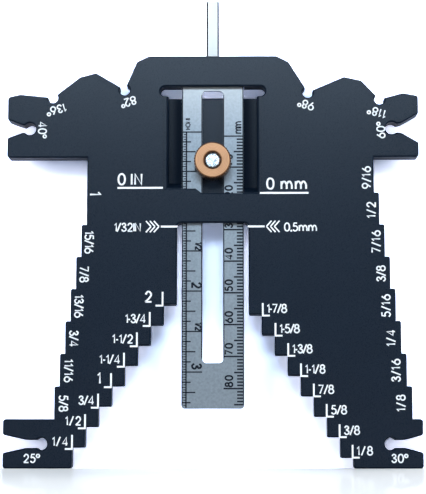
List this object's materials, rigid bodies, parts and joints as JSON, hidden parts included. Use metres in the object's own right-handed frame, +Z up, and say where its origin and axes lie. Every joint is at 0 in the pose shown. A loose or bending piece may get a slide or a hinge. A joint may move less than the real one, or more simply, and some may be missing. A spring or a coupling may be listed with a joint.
{
  "type": "step depth gauge",
  "caption": "Flat stepped depth and angle gauge with two stepped legs, V notches round its head, and a slotted rule that slides behind a bridge and is held by a round thumb nut.",
  "frame": {"origin": "on the base plane under the feet, midway across the width and midway in depth between the nut's face and the plate's back", "axes": "+X to the right as the scales are read, -Y towards the front with the nut, +Z up along the rule"},
  "size_m": [0.1302, 0.0104, 0.1486],
  "materials": {
    "black_anodised": "satin black anodised, fine bead blast",
    "stainless_rule": "satin stainless, brushed along its length",
    "bright_steel": "bright plated",
    "copper_brass": "turned face with fine rings, straight knurl round the rim"
  },
  "bodies": {
    "gauge": {"gauge_body": "black_anodised", "clamp_stud": "bright_steel"},
    "rule": {"depth_rule": "stainless_rule"},
    "nut": {"thumb_nut": "copper_brass"}
  },
  "joints": [
    {"name": "rule_slide", "type": "slide", "parent": "gauge", "child": "rule", "axis": [0, 0, 1], "range_m": [-0.0207, 0.0608]},
    {"name": "nut_turn", "type": "hinge", "parent": "gauge", "child": "nut", "pos_m": [0, -0.00215, 0.09602], "axis": [0, -1, 0], "range_deg": [0, 720]}
  ]
}
